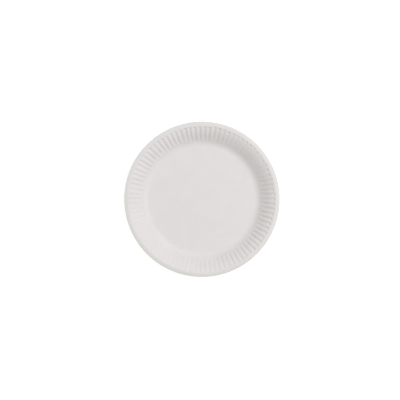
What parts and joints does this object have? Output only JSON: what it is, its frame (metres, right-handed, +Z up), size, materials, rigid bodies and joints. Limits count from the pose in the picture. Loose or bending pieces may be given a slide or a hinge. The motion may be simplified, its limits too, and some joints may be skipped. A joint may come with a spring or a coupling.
{
  "type": "paper plate",
  "caption": "Round disposable plate of pressed board with a flat floor, a curved cove, a flared wall with radial flutes all round, a rolled lip and a narrow downward sloping brim.",
  "frame": {"origin": "centre of the underside of the flat floor, which the plate stands on", "axes": "+Z up out of the dish along the axis of the plate; X and Y lie in the plane of the floor"},
  "size_m": [0.18, 0.18, 0.015],
  "materials": {
    "board": "matte"
  },
  "bodies": {
    "root": {"plate": "board"}
  },
  "joints": []
}
